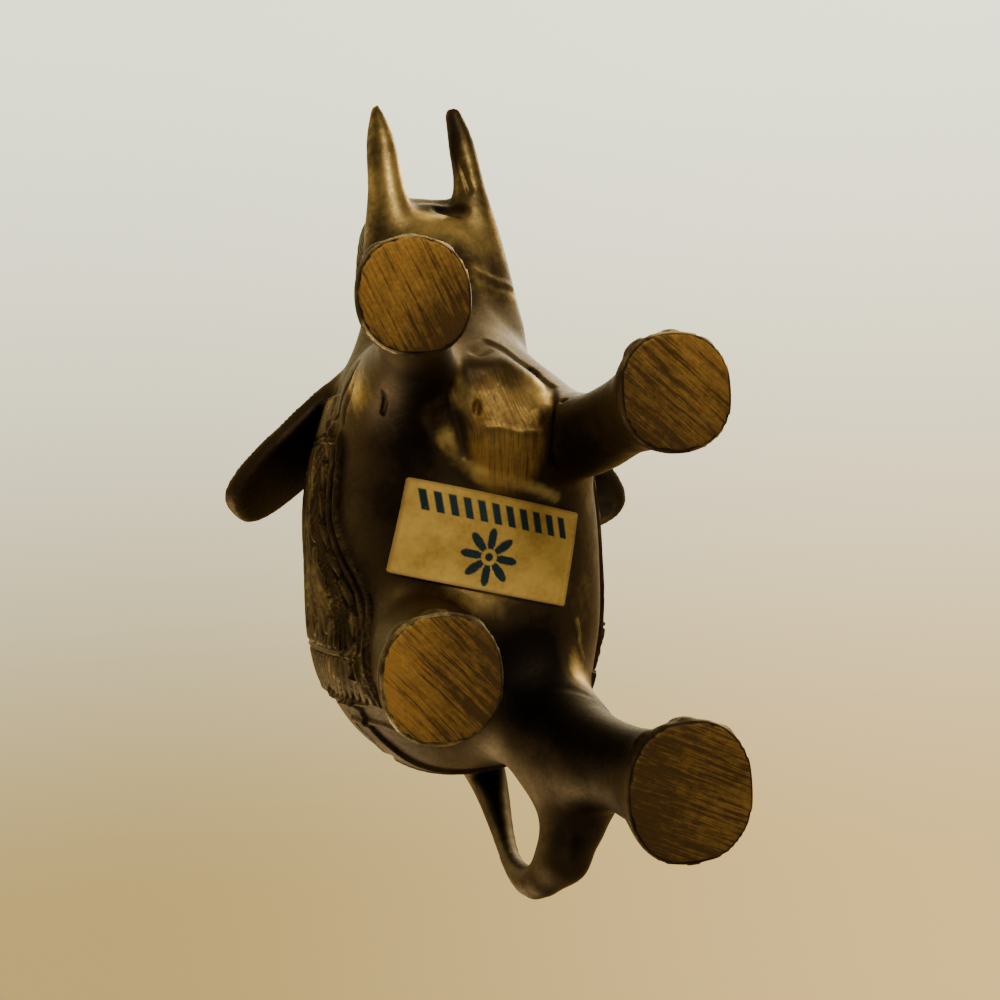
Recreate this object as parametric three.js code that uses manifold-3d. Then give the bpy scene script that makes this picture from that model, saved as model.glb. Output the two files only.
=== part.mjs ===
// A cast brass elephant, walking with its trunk raised, and the paper label stuck under its belly.
// Millimetres, +Z up. The head is towards -Y, so the animal's right side is at -X.
// The four ground soles stand on z = 0, and the origin is under the middle of the figure.

import * as THREE from 'three';
import { mergeVertices } from 'three/addons/utils/BufferGeometryUtils.js';
import Module from 'manifold-3d';

const wasm = await Module();
wasm.setup();

// Trunk of the body: rounded masses given by centre, half sizes and squareness (2 is an ellipsoid)
const bodyAxisHeight = 44;
const bodyHalfWidth = 18.3;
const bellyClearance = 24.6;
const bodyHalfHeight = bodyAxisHeight - bellyClearance;
const barrel = { centre: [0.1, 8.4, bodyAxisHeight], half: [bodyHalfWidth, 25.5, bodyHalfHeight], power: 2.4 };
const rump = { centre: [-0.2, 21, 45], half: [16.2, 16.2, 18], power: 2 };
const chest = { centre: [0, -9, 45], half: [11.4, 14, 19], power: 2 };
const breastbone = { centre: [0.9, -7.4, 30.6], half: [6.3, 9.2, 7.5], power: 2 };
const bodyBlend = 6;
const breastBlend = 2.6;
const legBlend = 5;

// Head, carried high. Rods are rows of x, y, height and radius, from root to tip
const neck = [[0, -12, 48, 11], [0, -21, 53, 8], [0, -28, 57, 7.2]];
const skullDome = { centre: [2, -24.5, 64.5], half: [3.9, 8, 6.6], power: 2 };
const lowerJaw = [[0.3, -18, 44, 7.4], [0.3, -27, 44.2, 6], [0.2, -31.6, 44.4, 3.6]];
const trunkRoot = [[0, -29, 53, 6.6], [0, -33.5, 59, 5.4], [0, -36.6, 67, 4.4]];
const trunkTip = [[0, -36.8, 75, 3.7], [0, -33, 81.4, 3.2], [0, -27.5, 82, 3.1]];
const upperLip = [[-4.3, -37.3, 50, 1.5], [4.7, -36.6, 50, 1.6]];
const cheekRight = [[-5, -20, 46.5, 4.2], [-4.9, -31, 46.4, 4]];
const cheekLeft = [[6.3, -20, 46, 5.6], [5.7, -31, 46.2, 4.2]];
const tuskRight = [[-5.5, -38.5, 46, 2.5], [-5.9, -45, 46, 1.9], [-6.2, -49.4, 46.2, 0.7]];
const tuskLeft = [[5.8, -38.5, 46, 2.2], [5, -45, 46, 1.7], [4.2, -48.8, 46.2, 1.1]];
const headBlend = 4;
const tuskBlend = 3;

// Legs: where the sole, the knee and the hip are, the foot's half width and half length, and the radii of
// the neck above the foot, of the knee and of the thigh
const kneeHeight = 21;
const hipHeight = 34;
const legs = [
  { sole: [-13.6, -19.1], foot: [5.9, 6], knee: [-9.2, -14.7], hip: [-7.6, -11], radii: [4, 4.5, 7.1] },
  { sole: [14, -8.4], foot: [6.4, 6.4], knee: [11.4, -4.9], hip: [9.4, -5.6], radii: [4.4, 4.9, 6.5] },
  { sole: [-13.1, 19.3], foot: [6.2, 6.6], knee: [-9.5, 19], hip: [-8.6, 21], radii: [4.9, 6.1, 7.8] },
  { sole: [13.1, 33.8], foot: [7.3, 7.8], knee: [7.5, 32.3], hip: [5.4, 27], radii: [4.9, 6.1, 7.1] },
];
const footMiddle = -1;
const footHalfHeight = 7;
const footSquareness = 2.3;
const footBlend = 3;

// The tail hangs clear of the rump and its tuft is cast onto the back of the left hind leg
const tail = [[1.5, 32, 50, 4], [3.3, 39.5, 45, 2.5], [2.4, 44.9, 36, 1.4], [1.3, 46.9, 28, 1.3],
  [1.9, 47.2, 21.5, 2], [4.4, 43.8, 18, 2.8]];
const tailWeb = [[7.8, 33, 26, 5.2], [7.1, 38.8, 21, 4.3], [4.4, 43.6, 18.3, 2.9]];

// Each ear is a cupped plate: along runs out and back at its sweep, up leans back over the shoulder
const ears = [
  { side: -1, root: [8.6, -16.2, 52.8], sweep: 43.6 },
  { side: 1, root: [10.35, -13.6, 52.8], sweep: 49.5 },
];
const earPlate = {
  lean: 33, middle: [13.2, 3], half: [12.8, 7.4], squareness: 2.8, halfThickness: 1.15, cupAlong: 0.004,
  cupUp: 0.01, cupStart: 6, offset: 0.6, rounds: 22, rings: 8,
};

// Saddle cloth: it stands proud of the hide, with a thicker border. It lies askew, so its hem is higher on
// the left side, and on the right side it drops over the thigh
const cloth = {
  front: -12, rear: 25.5, thickness: 0.5, borderThickness: 0.85, borderWidth: 1.8, depth: 1.6,
  leftHem: -18, frontHem: -31, rearHem: -52, dropStart: 2, dropLength: 16, rows: 16, columns: 30, edge: 0.3,
};

// Paper label, stuck on askew, a hair clear of the brass
const label = {
  centre: [-0.3, 7.2], width: 22, height: 11.5, turn: 15, thickness: 0.25, gap: 0.3, columns: 10, rows: 6,
};

const brass = new THREE.MeshStandardMaterial({ color: 0x7d5a24, roughness: 0.42, metalness: 0.85 });
const paper = new THREE.MeshStandardMaterial({ color: 0xd9c08a, roughness: 0.8, metalness: 0 });

// Brings the middle of the figure's length over the origin
const middleShift = 0.53;

const cell = 2.5;
const finestEdge = 0.12;
const tuskSides = 10;
const trunkSides = 14;
const meshBox = new THREE.Box3(new THREE.Vector3(-25, -54, -13), new THREE.Vector3(25, 54, 89));

// Signed distance to a rounded mass, negative inside
function massDistance({ centre, half, power }) {
  return (x, y, z) => {
    const [u, v, w] = [x - centre[0], y - centre[1], z - centre[2]].map(Math.abs);
    const sum = (u / half[0]) ** power + (v / half[1]) ** power + (w / half[2]) ** power;
    const reach = Math.max(sum, 1e-6) ** (1 / power);
    const slope = Math.hypot(
      u ** (power - 1) / half[0] ** power,
      v ** (power - 1) / half[1] ** power,
      w ** (power - 1) / half[2] ** power,
    ) * reach ** (1 - power);
    return (reach - 1) / Math.max(slope, 1e-6);
  };
}

// Signed distance to a tapered rod with round ends, from a to b
function taperDistance(a, b) {
  const axis = b.centre.clone().sub(a.centre);
  const length2 = axis.lengthSq();
  const fall = a.radius - b.radius;
  const slant2 = length2 - fall * fall;
  return (x, y, z) => {
    const px = x - a.centre.x;
    const py = y - a.centre.y;
    const pz = z - a.centre.z;
    const along = px * axis.x + py * axis.y + pz * axis.z;
    const beyond = along - length2;
    const across2 = (px * length2 - axis.x * along) ** 2
      + (py * length2 - axis.y * along) ** 2 + (pz * length2 - axis.z * along) ** 2;
    const k = Math.sign(fall) * fall * fall * across2;
    if (Math.sign(beyond) * slant2 * beyond * beyond * length2 > k) {
      return Math.sqrt(across2 + beyond * beyond * length2) / length2 - b.radius;
    }
    if (Math.sign(along) * slant2 * along * along * length2 < k) {
      return Math.sqrt(across2 + along * along * length2) / length2 - a.radius;
    }
    return (Math.sqrt(across2 * slant2 / length2) + along * fall) / length2 - a.radius;
  };
}

// Centres and radii along a smooth curve through a rod's rows
function stationsOf(rows, steps) {
  const path = new THREE.CatmullRomCurve3(rows.map((r) => new THREE.Vector3(r[0], r[1], r[2])), false, 'catmullrom');
  const size = new THREE.CatmullRomCurve3(rows.map((r) => new THREE.Vector3(r[3], 0, 0)), false, 'catmullrom');
  const count = steps * (rows.length - 1);
  return Array.from({ length: count + 1 }, (_, i) => (
    { centre: path.getPoint(i / count), radius: size.getPoint(i / count).x }
  ));
}

function rodDistance(rows, steps = 3) {
  const stations = stationsOf(rows, steps);
  const tapers = stations.slice(1).map((station, i) => taperDistance(stations[i], station));
  return (x, y, z) => Math.min(...tapers.map((taper) => taper(x, y, z)));
}

// Rows of one leg, from below the ground up to the hip
function legRows({ sole, knee, hip, radii: [neckRadius, kneeRadius, thighRadius] }) {
  const between = (share) => [sole[0] + share * (knee[0] - sole[0]), sole[1] + share * (knee[1] - sole[1])];
  return [
    [...sole, -4, neckRadius + 0.4],
    [...between(0.03), 2, neckRadius + 0.4],
    [...between(0.28), 6.5, neckRadius + 0.45],
    [...between(0.55), 12, neckRadius],
    [...knee, kneeHeight, kneeRadius],
    [...hip, hipHeight, thighRadius],
  ];
}

const footOf = ({ sole, foot }) => (
  { centre: [...sole, footMiddle], half: [...foot, footHalfHeight], power: footSquareness }
);

function smoothMin(a, b, blend) {
  const overlap = Math.max(blend - Math.abs(a - b), 0) / blend;
  return Math.min(a, b) - overlap * overlap * blend / 4;
}

// Mirrored over the middle plane of the figure
const mirrored = (mass) => ({ ...mass, centre: [-mass.centre[0], mass.centre[1], mass.centre[2]] });

// What melts together as one cast mass. The slender ends are added whole afterwards
const forms = [
  [massDistance(barrel), bodyBlend],
  [massDistance(rump), bodyBlend],
  [massDistance(chest), bodyBlend],
  [rodDistance(neck), bodyBlend - 1],
  [massDistance(skullDome), headBlend],
  [massDistance(mirrored(skullDome)), headBlend],
  [rodDistance(lowerJaw), headBlend],
  [rodDistance([...cheekRight, tuskRight[0]]), tuskBlend],
  [rodDistance([...cheekLeft, tuskLeft[0]]), tuskBlend],
  [rodDistance([...trunkRoot, trunkTip[0]]), headBlend],
  [rodDistance(upperLip), tuskBlend],
  [massDistance(breastbone), breastBlend],
  ...legs.map((leg) => [rodDistance(legRows(leg)), legBlend]),
  ...legs.map((leg) => [massDistance(footOf(leg)), footBlend]),
  [rodDistance(tail.slice(0, 2)), tuskBlend],
  [rodDistance(tailWeb), headBlend],
];

function castDistance(x, y, z) {
  return forms.reduce((least, [distance, blend]) => smoothMin(least, distance(x, y, z), blend), 1e3);
}

function castSlope(p, step = 0.05) {
  return new THREE.Vector3(
    castDistance(p.x + step, p.y, p.z) - castDistance(p.x - step, p.y, p.z),
    castDistance(p.x, p.y + step, p.z) - castDistance(p.x, p.y - step, p.z),
    castDistance(p.x, p.y, p.z + step) - castDistance(p.x, p.y, p.z - step),
  ).divideScalar(2 * step);
}

// One vertex for each cell that the surface crosses, joined into quads across every crossed cell edge
function surfaceOf(distance, box, size) {
  const span = box.getSize(new THREE.Vector3()).divideScalar(size).ceil().addScalar(1);
  const count = [span.x, span.y, span.z];
  const stride = [1, count[0], count[0] * count[1]];
  const at = (i, j, k) => i + j * stride[1] + k * stride[2];
  const place = (i, j, k) => new THREE.Vector3(i, j, k).multiplyScalar(size).add(box.min);
  const value = new Float64Array(count[0] * count[1] * count[2]);
  const eachCell = (edge, visit) => {
    for (let k = 0; k < count[2] - edge; k += 1) {
      for (let j = 0; j < count[1] - edge; j += 1) {
        for (let i = 0; i < count[0] - edge; i += 1) {
          visit(i, j, k);
        }
      }
    }
  };
  eachCell(0, (i, j, k) => {
    const p = place(i, j, k);
    value[at(i, j, k)] = distance(p.x, p.y, p.z);
  });
  const corners = [0, 1, 2, 3, 4, 5, 6, 7].map((c) => [c & 1, (c >> 1) & 1, c >> 2]);
  const vertexOf = new Int32Array(value.length).fill(-1);
  const points = [];
  eachCell(1, (i, j, k) => {
    const sum = new THREE.Vector3();
    let crossings = 0;
    corners.forEach((a, c) => corners.slice(c + 1).forEach((b) => {
      if (Math.abs(a[0] - b[0]) + Math.abs(a[1] - b[1]) + Math.abs(a[2] - b[2]) !== 1) return;
      const va = value[at(i + a[0], j + a[1], k + a[2])];
      const vb = value[at(i + b[0], j + b[1], k + b[2])];
      if ((va < 0) === (vb < 0)) return;
      const from = place(i + a[0], j + a[1], k + a[2]);
      sum.add(from.lerp(place(i + b[0], j + b[1], k + b[2]), va / (va - vb)));
      crossings += 1;
    }));
    if (crossings === 0) return;
    vertexOf[at(i, j, k)] = points.length;
    points.push(sum.divideScalar(crossings));
  });
  const index = [];
  const diagonals = new Set();
  const nameOf = (a, b) => (a < b ? `${a} ${b}` : `${b} ${a}`);
  const addQuad = ([a, b, c, d]) => {
    const shorter = points[a].distanceTo(points[c]) < points[b].distanceTo(points[d]);
    const free = diagonals.has(nameOf(b, d)) || (shorter && !diagonals.has(nameOf(a, c)));
    diagonals.add(free ? nameOf(a, c) : nameOf(b, d));
    index.push(...(free ? [a, b, c, a, c, d] : [a, b, d, b, c, d]));
  };
  eachCell(1, (i, j, k) => {
    [0, 1, 2].forEach((axis) => {
      const here = at(i, j, k);
      const inside = value[here] < 0;
      if (inside === (value[here + stride[axis]] < 0)) return;
      const side = stride[(axis + 1) % 3];
      const other = stride[(axis + 2) % 3];
      const ring = [here - side - other, here - other, here, here - side].map((n) => vertexOf[n]);
      addQuad(inside ? ring : ring.reverse());
    });
  });
  points.forEach((p) => {
    for (let step = 0; step < 2; step += 1) {
      const slope = castSlope(p);
      p.addScaledVector(slope, -distance(p.x, p.y, p.z) / Math.max(slope.lengthSq(), 0.3));
    }
  });
  const geometry = new THREE.BufferGeometry().setFromPoints(points);
  geometry.setIndex(index);
  return geometry;
}

// A tapered round bar with domed ends, bent along its rows
function rodGeometry(rows, sides, steps = 2) {
  const stations = stationsOf(rows, steps);
  const last = stations.length - 1;
  const dome = [0.35, 0.75];
  const profile = [
    new THREE.Vector2(0, -1),
    ...dome.map((share) => new THREE.Vector2(Math.sqrt(1 - (1 - share) ** 2), share - 1)),
    ...stations.map((_, i) => new THREE.Vector2(1, i)),
    ...dome.slice().reverse().map((share) => new THREE.Vector2(Math.sqrt(1 - (1 - share) ** 2), last + 1 - share)),
    new THREE.Vector2(0, last + 1),
  ];
  const geometry = new THREE.LatheGeometry(profile, sides);
  const place = geometry.attributes.position;
  const tangents = stations.map((_, i) => stations[Math.min(i + 1, last)].centre.clone()
    .sub(stations[Math.max(i - 1, 0)].centre).normalize());
  const sideways = new THREE.Vector3(1, 0.2, 0.1);
  const p = new THREE.Vector3();
  for (let n = 0; n < place.count; n += 1) {
    p.fromBufferAttribute(place, n);
    const i = THREE.MathUtils.clamp(Math.round(p.y), 0, last);
    const { centre, radius } = stations[p.y < 0 ? 0 : Math.min(i, last)];
    const end = p.y < 0 ? p.y : Math.max(p.y - last, 0);
    const across = sideways.clone().addScaledVector(tangents[i], -sideways.dot(tangents[i])).normalize();
    const over = across.clone().cross(tangents[i]);
    const q = centre.clone().addScaledVector(tangents[i], end * radius)
      .addScaledVector(across, p.x * radius).addScaledVector(over, p.z * radius);
    place.setXYZ(n, q.x, q.y, q.z);
  }
  return geometry;
}

// A sphere pressed into a cupped plate with a rounded rim, then set on the head
function earGeometry({ side, root, sweep }) {
  const { middle, half, squareness } = earPlate;
  const geometry = new THREE.SphereGeometry(1, earPlate.rounds, earPlate.rings).rotateX(Math.PI / 2);
  const swept = THREE.MathUtils.degToRad(sweep);
  const lean = THREE.MathUtils.degToRad(earPlate.lean);
  const along = new THREE.Vector3(Math.cos(swept), Math.sin(swept), 0);
  const level = new THREE.Vector3(-Math.sin(swept), Math.cos(swept), 0);
  const back = level.multiplyScalar(Math.cos(lean)).setZ(-Math.sin(lean));
  const up = along.clone().cross(back);
  const place = geometry.attributes.position;
  for (let n = 0; n < place.count; n += 1) {
    const [sx, sy, sz] = [place.getX(n), place.getY(n), place.getZ(n)];
    const reach = Math.hypot(sx, sy);
    const turn = Math.atan2(sy, sx);
    const round = (Math.abs(Math.cos(turn)) ** squareness + Math.abs(Math.sin(turn)) ** squareness)
      ** (-1 / squareness);
    const x = middle[0] + half[0] * reach * round * Math.cos(turn);
    const y = middle[1] + half[1] * reach * round * Math.sin(turn);
    const cup = earPlate.cupAlong * Math.max(x - earPlate.cupStart, 0) ** 2 + earPlate.cupUp * (y - middle[1]) ** 2;
    const w = earPlate.offset - cup + earPlate.halfThickness * Math.sign(sz) * Math.abs(sz) ** 0.4;
    const q = new THREE.Vector3(...root).addScaledVector(along, x).addScaledVector(up, y).addScaledVector(back, w);
    place.setXYZ(n, side * q.x, q.y, q.z);
  }
  if (side > 0) turnInsideOut(geometry);
  return geometry;
}

function turnInsideOut(geometry) {
  const { array } = geometry.index;
  for (let n = 0; n < array.length; n += 3) {
    [array[n], array[n + 1]] = [array[n + 1], array[n]];
  }
}

// How far the hide is from the body's axis, at a place along it and a turn above the level
function hideRadius(y, turn) {
  const [dx, dz] = [Math.cos(turn), Math.sin(turn)];
  let reach = bodyHalfWidth * 0.6;
  for (let step = 0; step < 40; step += 1) {
    reach -= castDistance(reach * dx, y, bodyAxisHeight + reach * dz);
  }
  return reach;
}

// The turns of the left and the right hem above the level, at a place along the body
function hemTurns(y) {
  const share = THREE.MathUtils.smoothstep(y, cloth.dropStart, cloth.dropStart + cloth.dropLength);
  const drop = THREE.MathUtils.lerp(cloth.frontHem, cloth.rearHem, share);
  return [cloth.leftHem, 180 - drop].map(THREE.MathUtils.degToRad);
}

// Even steps from 0 to 1, with a close pair at each end where the border stops
function bordered(length, steps) {
  const inner = [cloth.borderWidth, cloth.borderWidth + cloth.edge].map((d) => d / length);
  const middle = Array.from({ length: steps - 1 }, (_, i) => (
    THREE.MathUtils.lerp(inner[1], 1 - inner[1], (i + 1) / steps)
  ));
  return [0, ...inner, ...middle, 1 - inner[1], 1 - inner[0], 1];
}

// A closed shell over the back, from hem to hem, whose underside is buried in the body
function clothGeometry() {
  const across = bordered(cloth.rear - cloth.front, cloth.rows);
  const [leftTurn, rightTurn] = hemTurns(cloth.front);
  const girth = bodyHalfWidth * (rightTurn - leftTurn);
  const around = bordered(girth, cloth.columns);
  const isBorder = (list, n) => n < 2 || n > list.length - 3;
  const rows = across.length;
  const points = [];
  [1, -1].forEach((face) => around.forEach((v, j) => across.forEach((u, i) => {
    const y = THREE.MathUtils.lerp(cloth.front, cloth.rear, u);
    const turn = THREE.MathUtils.lerp(...hemTurns(y), v);
    const proud = isBorder(across, i) || isBorder(around, j) ? cloth.borderThickness : cloth.thickness;
    const reach = hideRadius(y, turn) + (face > 0 ? proud : -cloth.depth);
    points.push(new THREE.Vector3(reach * Math.cos(turn), y, bodyAxisHeight + reach * Math.sin(turn)));
  })));
  return shellGeometry(points, around.length, rows);
}

// Joins an outer and an inner grid of points, columns by rows, into one closed body
function shellGeometry(points, columns, rows) {
  const inner = columns * rows;
  const index = [];
  const quad = (a, b, c, d) => index.push(a, b, c, a, c, d);
  for (let j = 0; j < columns - 1; j += 1) {
    for (let i = 0; i < rows - 1; i += 1) {
      const a = j * rows + i;
      quad(a, a + 1, a + rows + 1, a + rows);
      quad(inner + a, inner + a + rows, inner + a + rows + 1, inner + a + 1);
    }
  }
  for (let i = 0; i < rows - 1; i += 1) {
    const end = (columns - 1) * rows + i;
    quad(i, inner + i, inner + i + 1, i + 1);
    quad(end, end + 1, inner + end + 1, inner + end);
  }
  for (let j = 0; j < columns - 1; j += 1) {
    const a = j * rows;
    const b = a + rows - 1;
    quad(a, a + rows, inner + a + rows, inner + a);
    quad(b, inner + b, inner + b + rows, b + rows);
  }
  const geometry = new THREE.BufferGeometry().setFromPoints(points);
  geometry.setIndex(index);
  return geometry;
}

// The belly's height over a point of the ground
function bellyHeight(x, y) {
  let z = bellyClearance - 4;
  for (let step = 0; step < 40; step += 1) {
    z += castDistance(x, y, z);
  }
  return z;
}

function labelGeometry() {
  const turn = THREE.MathUtils.degToRad(label.turn);
  const points = [];
  [1, -1].forEach((face) => {
    for (let j = 0; j <= label.columns; j += 1) {
      for (let i = 0; i <= label.rows; i += 1) {
        const u = (j / label.columns - 0.5) * label.width;
        const v = (i / label.rows - 0.5) * label.height;
        const x = label.centre[0] + u * Math.cos(turn) - v * Math.sin(turn);
        const y = label.centre[1] + u * Math.sin(turn) + v * Math.cos(turn);
        const drop = label.gap + (face > 0 ? label.thickness : 0);
        points.push(new THREE.Vector3(x, y, bellyHeight(x, y) - drop));
      }
    }
  });
  return shellGeometry(points, label.columns + 1, label.rows + 1);
}

function solidOf(geometry) {
  geometry.deleteAttribute('normal');
  geometry.deleteAttribute('uv');
  const merged = mergeVertices(geometry, 1e-4);
  const corners = merged.index.array;
  const kept = [];
  for (let n = 0; n < corners.length; n += 3) {
    const [a, b, c] = [corners[n], corners[n + 1], corners[n + 2]];
    if (a !== b && b !== c && c !== a) kept.push(a, b, c);
  }
  return new wasm.Manifold(new wasm.Mesh({
    numProp: 3,
    vertProperties: new Float32Array(merged.attributes.position.array),
    triVerts: new Uint32Array(kept),
  }));
}

function geometryOf(solid) {
  const { vertProperties, triVerts } = solid.getMesh();
  const geometry = new THREE.BufferGeometry();
  geometry.setAttribute('position', new THREE.BufferAttribute(new Float32Array(vertProperties), 3));
  geometry.setIndex(new THREE.BufferAttribute(new Uint32Array(triVerts), 1));
  geometry.computeVertexNormals();
  return geometry;
}

// Closes every edge that is shorter than the finest detail, where that leaves the surface whole
function withoutSlivers(geometry, shortest) {
  const place = geometry.attributes.position;
  const points = Array.from({ length: place.count }, (_, n) => new THREE.Vector3().fromBufferAttribute(place, n));
  const corners = geometry.index.array;
  const faces = [];
  for (let n = 0; n < corners.length; n += 3) faces.push([corners[n], corners[n + 1], corners[n + 2]]);
  const around = points.map(() => new Set());
  faces.forEach((face) => face.forEach((corner) => around[corner].add(face)));
  const neighbours = (a) => new Set([...around[a]].flat().filter((b) => b !== a));
  const close = (a, b) => {
    const shared = [...neighbours(a)].filter((c) => neighbours(b).has(c));
    if (shared.length !== 2) return;
    [...around[b]].forEach((face) => {
      if (face.includes(a)) {
        face.forEach((corner) => around[corner].delete(face));
        face.length = 0;
        return;
      }
      face[face.indexOf(b)] = a;
      around[a].add(face);
    });
    around[b].clear();
  };
  faces.forEach((face) => [0, 1, 2].forEach((side) => {
    const [a, b] = [face[side], face[(side + 1) % 3]];
    if (face.length && points[a].distanceTo(points[b]) < shortest) close(a, b);
  }));
  const tidy = new THREE.BufferGeometry().setFromPoints(points);
  tidy.setIndex(faces.flat());
  return mergeVertices(tidy, 1e-6);
}

function elephantGeometry() {
  const ground = new THREE.BoxGeometry(200, 200, 20).translate(0, 0, -10);
  const pieces = [
    ...ears.map(earGeometry),
    clothGeometry(),
    rodGeometry([cheekRight[1], ...tuskRight], tuskSides),
    rodGeometry([cheekLeft[1], ...tuskLeft], tuskSides),
    rodGeometry([trunkRoot[2], ...trunkTip], trunkSides),
    rodGeometry(tail, tuskSides),
  ];
  const whole = pieces.reduce((body, piece) => body.add(solidOf(piece)),
    solidOf(surfaceOf(castDistance, meshBox, cell)));
  return withoutSlivers(geometryOf(whole.subtract(solidOf(ground))), finestEdge);
}

function named(name, geometry, material) {
  const mesh = new THREE.Mesh(geometry, material);
  mesh.name = name;
  return mesh;
}

const figure = new THREE.Group();
figure.position.y = middleShift;
figure.add(named('elephant', elephantGeometry(), brass));
figure.add(named('label', labelGeometry(), paper));

export default figure;
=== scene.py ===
# The looks of a cast brass elephant, walking with its trunk raised, and of the paper label under its belly.
# Forms are worked out in millimetres, with the head towards -Y, and are set into the frame in metres.

import math
from itertools import combinations

import bpy
import numpy as np
from mathutils import Euler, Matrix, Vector


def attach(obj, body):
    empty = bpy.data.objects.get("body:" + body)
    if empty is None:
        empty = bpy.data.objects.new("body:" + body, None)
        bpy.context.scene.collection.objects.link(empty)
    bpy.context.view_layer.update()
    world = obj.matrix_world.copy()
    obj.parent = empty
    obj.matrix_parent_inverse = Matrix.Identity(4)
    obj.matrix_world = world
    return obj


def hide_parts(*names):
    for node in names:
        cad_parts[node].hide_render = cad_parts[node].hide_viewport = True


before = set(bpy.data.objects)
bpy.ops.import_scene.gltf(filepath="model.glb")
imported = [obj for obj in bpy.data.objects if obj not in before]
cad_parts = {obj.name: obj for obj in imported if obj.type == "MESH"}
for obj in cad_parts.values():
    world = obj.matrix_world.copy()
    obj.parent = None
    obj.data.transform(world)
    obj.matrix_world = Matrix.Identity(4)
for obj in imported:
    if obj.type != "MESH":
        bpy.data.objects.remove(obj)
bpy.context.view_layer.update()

MM = 0.001
# The figure's own middle is this far from the frame's
MIDDLE_SHIFT = 0.53
TO_FRAME = np.array([0, MIDDLE_SHIFT, 0])

# Trunk of the body
BODY_AXIS_HEIGHT = 44.0
BODY_HALF_WIDTH = 18.3
BELLY_CLEARANCE = 24.6
BODY_HALF_HEIGHT = BODY_AXIS_HEIGHT - BELLY_CLEARANCE
BARREL = dict(centre=(0.1, 8.4, BODY_AXIS_HEIGHT), half=(BODY_HALF_WIDTH, 25.5, BODY_HALF_HEIGHT), power=2.4)
RUMP = dict(centre=(-0.2, 21, 45), half=(16.2, 16.2, 18), power=2)
CHEST = dict(centre=(0, -9, 45), half=(11.4, 14, 19), power=2)
BREASTBONE = dict(centre=(0.9, -7.4, 30.6), half=(6.3, 9.2, 7.5), power=2)
BODY_BLEND = 6
NECK_BLEND = 5
BREAST_BLEND = 2.6
LEG_BLEND = 5

# Head. Rods are rows of x, y, height and radius
NECK = [(0, -12, 48, 11), (0, -21, 53, 8), (0, -28, 57, 7.2)]
SKULL_DOMES = [dict(centre=(x, -24.5, 64.5), half=(3.9, 8, 6.6), power=2) for x in (2, -2)]
LOWER_JAW = [(0.3, -18, 44, 7.4), (0.3, -27, 44.2, 6), (0.2, -31.6, 44.4, 3.6)]
TRUNK_ROOT = [(0, -29, 53, 6.6), (0, -33.5, 59, 5.4), (0, -36.6, 67, 4.4)]
TRUNK_TIP = [(0, -36.8, 75, 3.7), (0, -33, 81.4, 3.2), (0, -27.5, 82, 3.1)]
UPPER_LIP = [(-4.3, -37.3, 50, 1.5), (4.7, -36.6, 50, 1.6)]
MOUTH_WEB = dict(centre=(0, -33, 47.3), half=(5.2, 4.3, 3.6), power=2)
CHEEK_RIGHT = [(-5, -20, 46.5, 4.2), (-4.9, -31, 46.4, 4)]
CHEEK_LEFT = [(6.3, -20, 46, 5.6), (5.7, -31, 46.2, 4.2)]
TUSK_RIGHT = [(-5.5, -38.5, 46, 2.5), (-5.9, -45, 46, 1.9), (-6.2, -49.4, 46.2, 0.7)]
TUSK_LEFT = [(5.8, -38.5, 46, 2.2), (5, -45, 46, 1.7), (4.2, -48.8, 46.2, 1.1)]
HEAD_BLEND = 4
TUSK_BLEND = 3
MOUTH_BLEND = 1.2

# Legs: where the sole, the knee and the hip are, the foot's half width and half length, and the radii of
# the neck above the foot, of the knee and of the thigh
KNEE_HEIGHT = 21
HIP_HEIGHT = 34
LEGS = [
    dict(sole=(-13.6, -19.1), foot=(5.9, 6), knee=(-9.2, -14.7), hip=(-7.6, -11), radii=(4, 4.5, 7.1)),
    dict(sole=(14, -8.4), foot=(6.4, 6.4), knee=(11.4, -4.9), hip=(9.4, -5.6), radii=(4.4, 4.9, 6.5)),
    dict(sole=(-13.1, 19.3), foot=(6.2, 6.6), knee=(-9.5, 19), hip=(-8.6, 21), radii=(4.9, 6.1, 7.8)),
    dict(sole=(13.1, 33.8), foot=(7.3, 7.8), knee=(7.5, 32.3), hip=(5.4, 27), radii=(4.9, 6.1, 7.1)),
]
FOOT_MIDDLE = -1
FOOT_HALF_HEIGHT = 7
FOOT_SQUARENESS = 2.3
FOOT_BLEND = 3
SOLE_EDGE = 0.5
# Rows up a shin: share of the way from the sole to the knee, height, and how much wider than the neck it is
SHIN_ROWS = [(0, -4, 0.4), (0.03, 2, 0.4), (0.28, 6.5, 0.45), (0.55, 12, 0)]

# Tail, with its tuft cast onto the back of the left hind leg
TAIL = [(1.5, 32, 50, 4), (3.3, 39.5, 45, 2.5), (2.4, 44.9, 36, 1.4), (1.3, 46.9, 28, 1.3),
        (1.9, 47.2, 21.5, 2), (4.4, 43.8, 18, 2.8)]
TAIL_WEB = [(7.8, 33, 26, 5.2), (7.1, 38.8, 21, 4.3), (4.4, 43.6, 18.3, 2.9)]
TAIL_BLEND = 1.5
WEB_BLEND = 4

# Each ear is a cupped plate: along runs out and back at its sweep, up leans back over the shoulder
EARS = [
    dict(side=-1, root=(8.6, -16.2, 52.8), sweep=43.6),
    dict(side=1, root=(10.35, -13.6, 52.8), sweep=49.5),
]
EAR = dict(lean=33, middle=(13.2, 3), half=(12.8, 7.4), squareness=2.8, half_thickness=1.15, cup_along=0.004,
           cup_up=0.01, cup_start=6, offset=0.6, rim=0.7)
EAR_BLEND = 1.5

# Saddle cloth. It lies askew, with its hem higher on the left side
CLOTH = dict(front=-12, rear=25.5, thickness=0.5, left_hem=-18, front_hem=-31, rear_hem=-52, drop_start=2,
             drop_length=16)

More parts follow.
